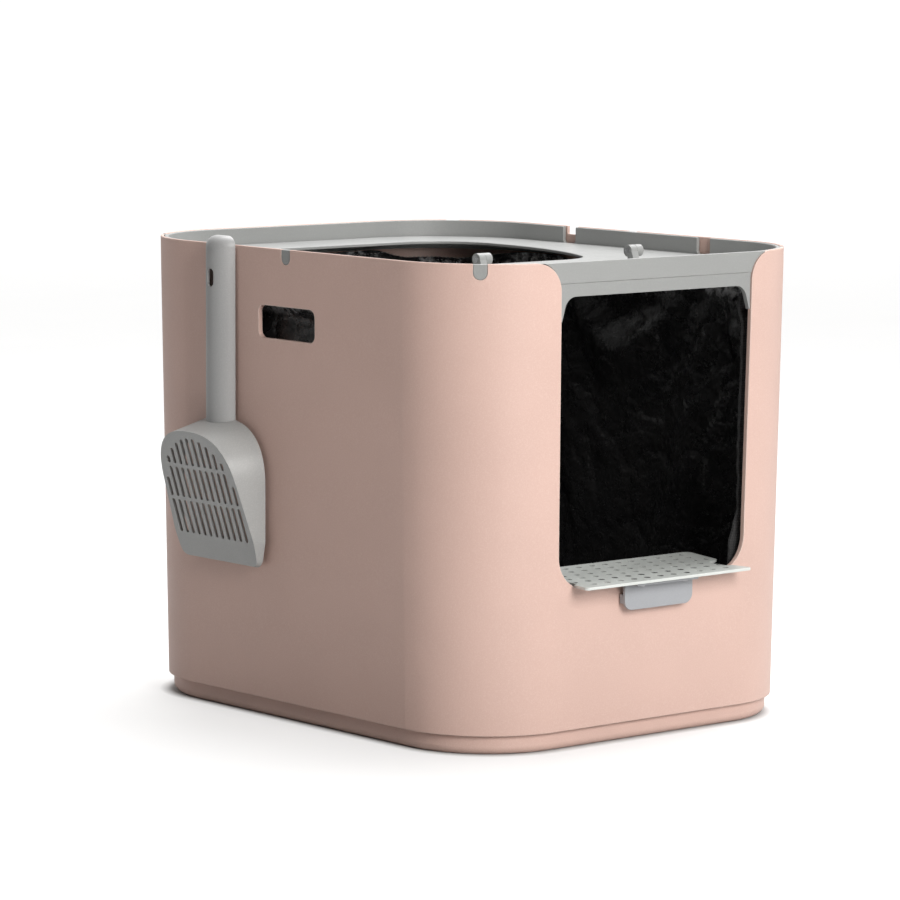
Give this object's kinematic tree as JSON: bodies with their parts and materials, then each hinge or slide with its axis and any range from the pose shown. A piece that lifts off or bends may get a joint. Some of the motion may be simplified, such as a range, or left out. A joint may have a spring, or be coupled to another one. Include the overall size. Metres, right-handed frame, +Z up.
{
  "type": "hooded cat litter box",
  "caption": "Hooded cat litter box with a hinged top-entry lid, front doorway with clip-on perforated landing, fabric liner and a hanging scoop.",
  "frame": {"origin": "on the floor under the middle of the housing", "axes": "+Z up, -Y towards the front doorway, -X towards the side that the scoop hangs on"},
  "size_m": [0.4698, 0.548, 0.44],
  "materials": {
    "housing_plastic": "fine satin",
    "frame_plastic": "fine satin",
    "scoop_plastic": "satin",
    "landing_plastic": "satin",
    "clip_plastic": "satin",
    "steel": "zinc plated",
    "rubber": "matt",
    "liner_fabric": "coated woven fabric, slightly shiny",
    "liner_webbing": "folded and stitched",
    "eyelet_metal": "nickel plated"
  },
  "bodies": {
    "housing": {"housing_shell": "housing_plastic", "base_tray": "housing_plastic", "anti_slip_pads": "rubber", "base_screws": "steel", "liner_studs": "frame_plastic", "liner_bag": "liner_fabric", "liner_top_hem": "liner_webbing", "liner_door_hem": "liner_webbing", "liner_eyelets": "eyelet_metal"},
    "frame": {"top_frame": "frame_plastic", "door_header": "frame_plastic", "header_screws": "steel", "hinge_pin_left": "steel", "hinge_pin_right": "steel", "lid_bumpers": "rubber"},
    "lid": {"lid_panel": "frame_plastic"},
    "scoop": {"scoop_bowl": "scoop_plastic", "scoop_handle": "scoop_plastic"},
    "landing": {"landing_plate": "landing_plastic", "landing_clip": "clip_plastic", "landing_screws": "steel"}
  },
  "joints": [
    {"name": "frame_lift", "type": "slide", "parent": "housing", "child": "frame", "axis": [0, 0, 1], "range_m": [0, 0.15]},
    {"name": "lid_hinge", "type": "hinge", "parent": "frame", "child": "lid", "pos_m": [0, -0.1306, 0.426], "axis": [1, 0, 0], "range_deg": [0, 100]},
    {"name": "scoop_lift", "type": "slide", "parent": "housing", "child": "scoop", "axis": [0, 0, 1], "range_m": [0, 0.12]},
    {"name": "landing_lift", "type": "slide", "parent": "housing", "child": "landing", "axis": [0, 0, 1], "range_m": [0, 0.05]}
  ]
}
